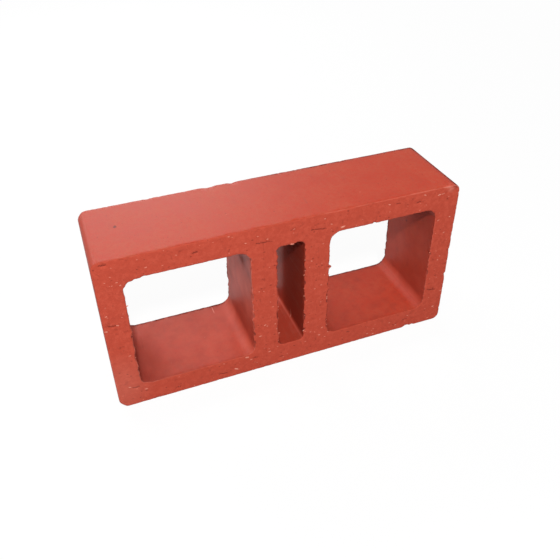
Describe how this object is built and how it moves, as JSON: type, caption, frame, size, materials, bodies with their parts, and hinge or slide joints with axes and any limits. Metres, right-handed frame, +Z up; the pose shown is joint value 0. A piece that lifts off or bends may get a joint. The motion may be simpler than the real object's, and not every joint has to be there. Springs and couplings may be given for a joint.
{
  "type": "hollow clay brick",
  "caption": "Red fired-clay hollow brick, extruded and wire cut, with two large rectangular cells and a narrow slot between them running through its depth.",
  "frame": {"origin": "middle of the long side that the brick stands on", "axes": "+X along the length, +Y from the front cut face to the back one, along the cells, +Z up"},
  "size_m": [0.39, 0.096, 0.19],
  "materials": {
    "fired_clay": "matte fired red clay, smooth where the die pressed it and rough where the wire cut it"
  },
  "bodies": {
    "root": {"brick": "fired_clay"}
  },
  "joints": []
}
